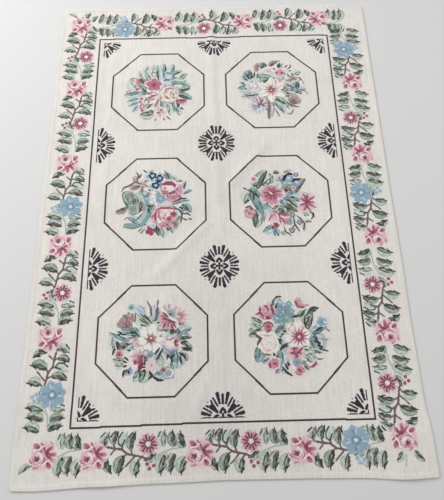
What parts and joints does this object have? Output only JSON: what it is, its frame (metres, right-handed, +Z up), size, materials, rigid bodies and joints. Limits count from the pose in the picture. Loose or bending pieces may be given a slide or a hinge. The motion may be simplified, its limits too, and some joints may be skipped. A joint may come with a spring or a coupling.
{
  "type": "needlepoint rug",
  "caption": "Flat rectangular wool rug, stitched all over, with edges turned under as a narrow hem and a few soft storage creases.",
  "frame": {"origin": "on the surface it lies on, under the middle of the rug", "axes": "+X across the rug, +Y along it towards its far end, +Z up"},
  "size_m": [1.389, 2.0214, 0.0127],
  "materials": {
    "wool": "matt stitched wool, cream ground with coloured floral stitching"
  },
  "bodies": {
    "root": {"rug": "wool"}
  },
  "joints": []
}
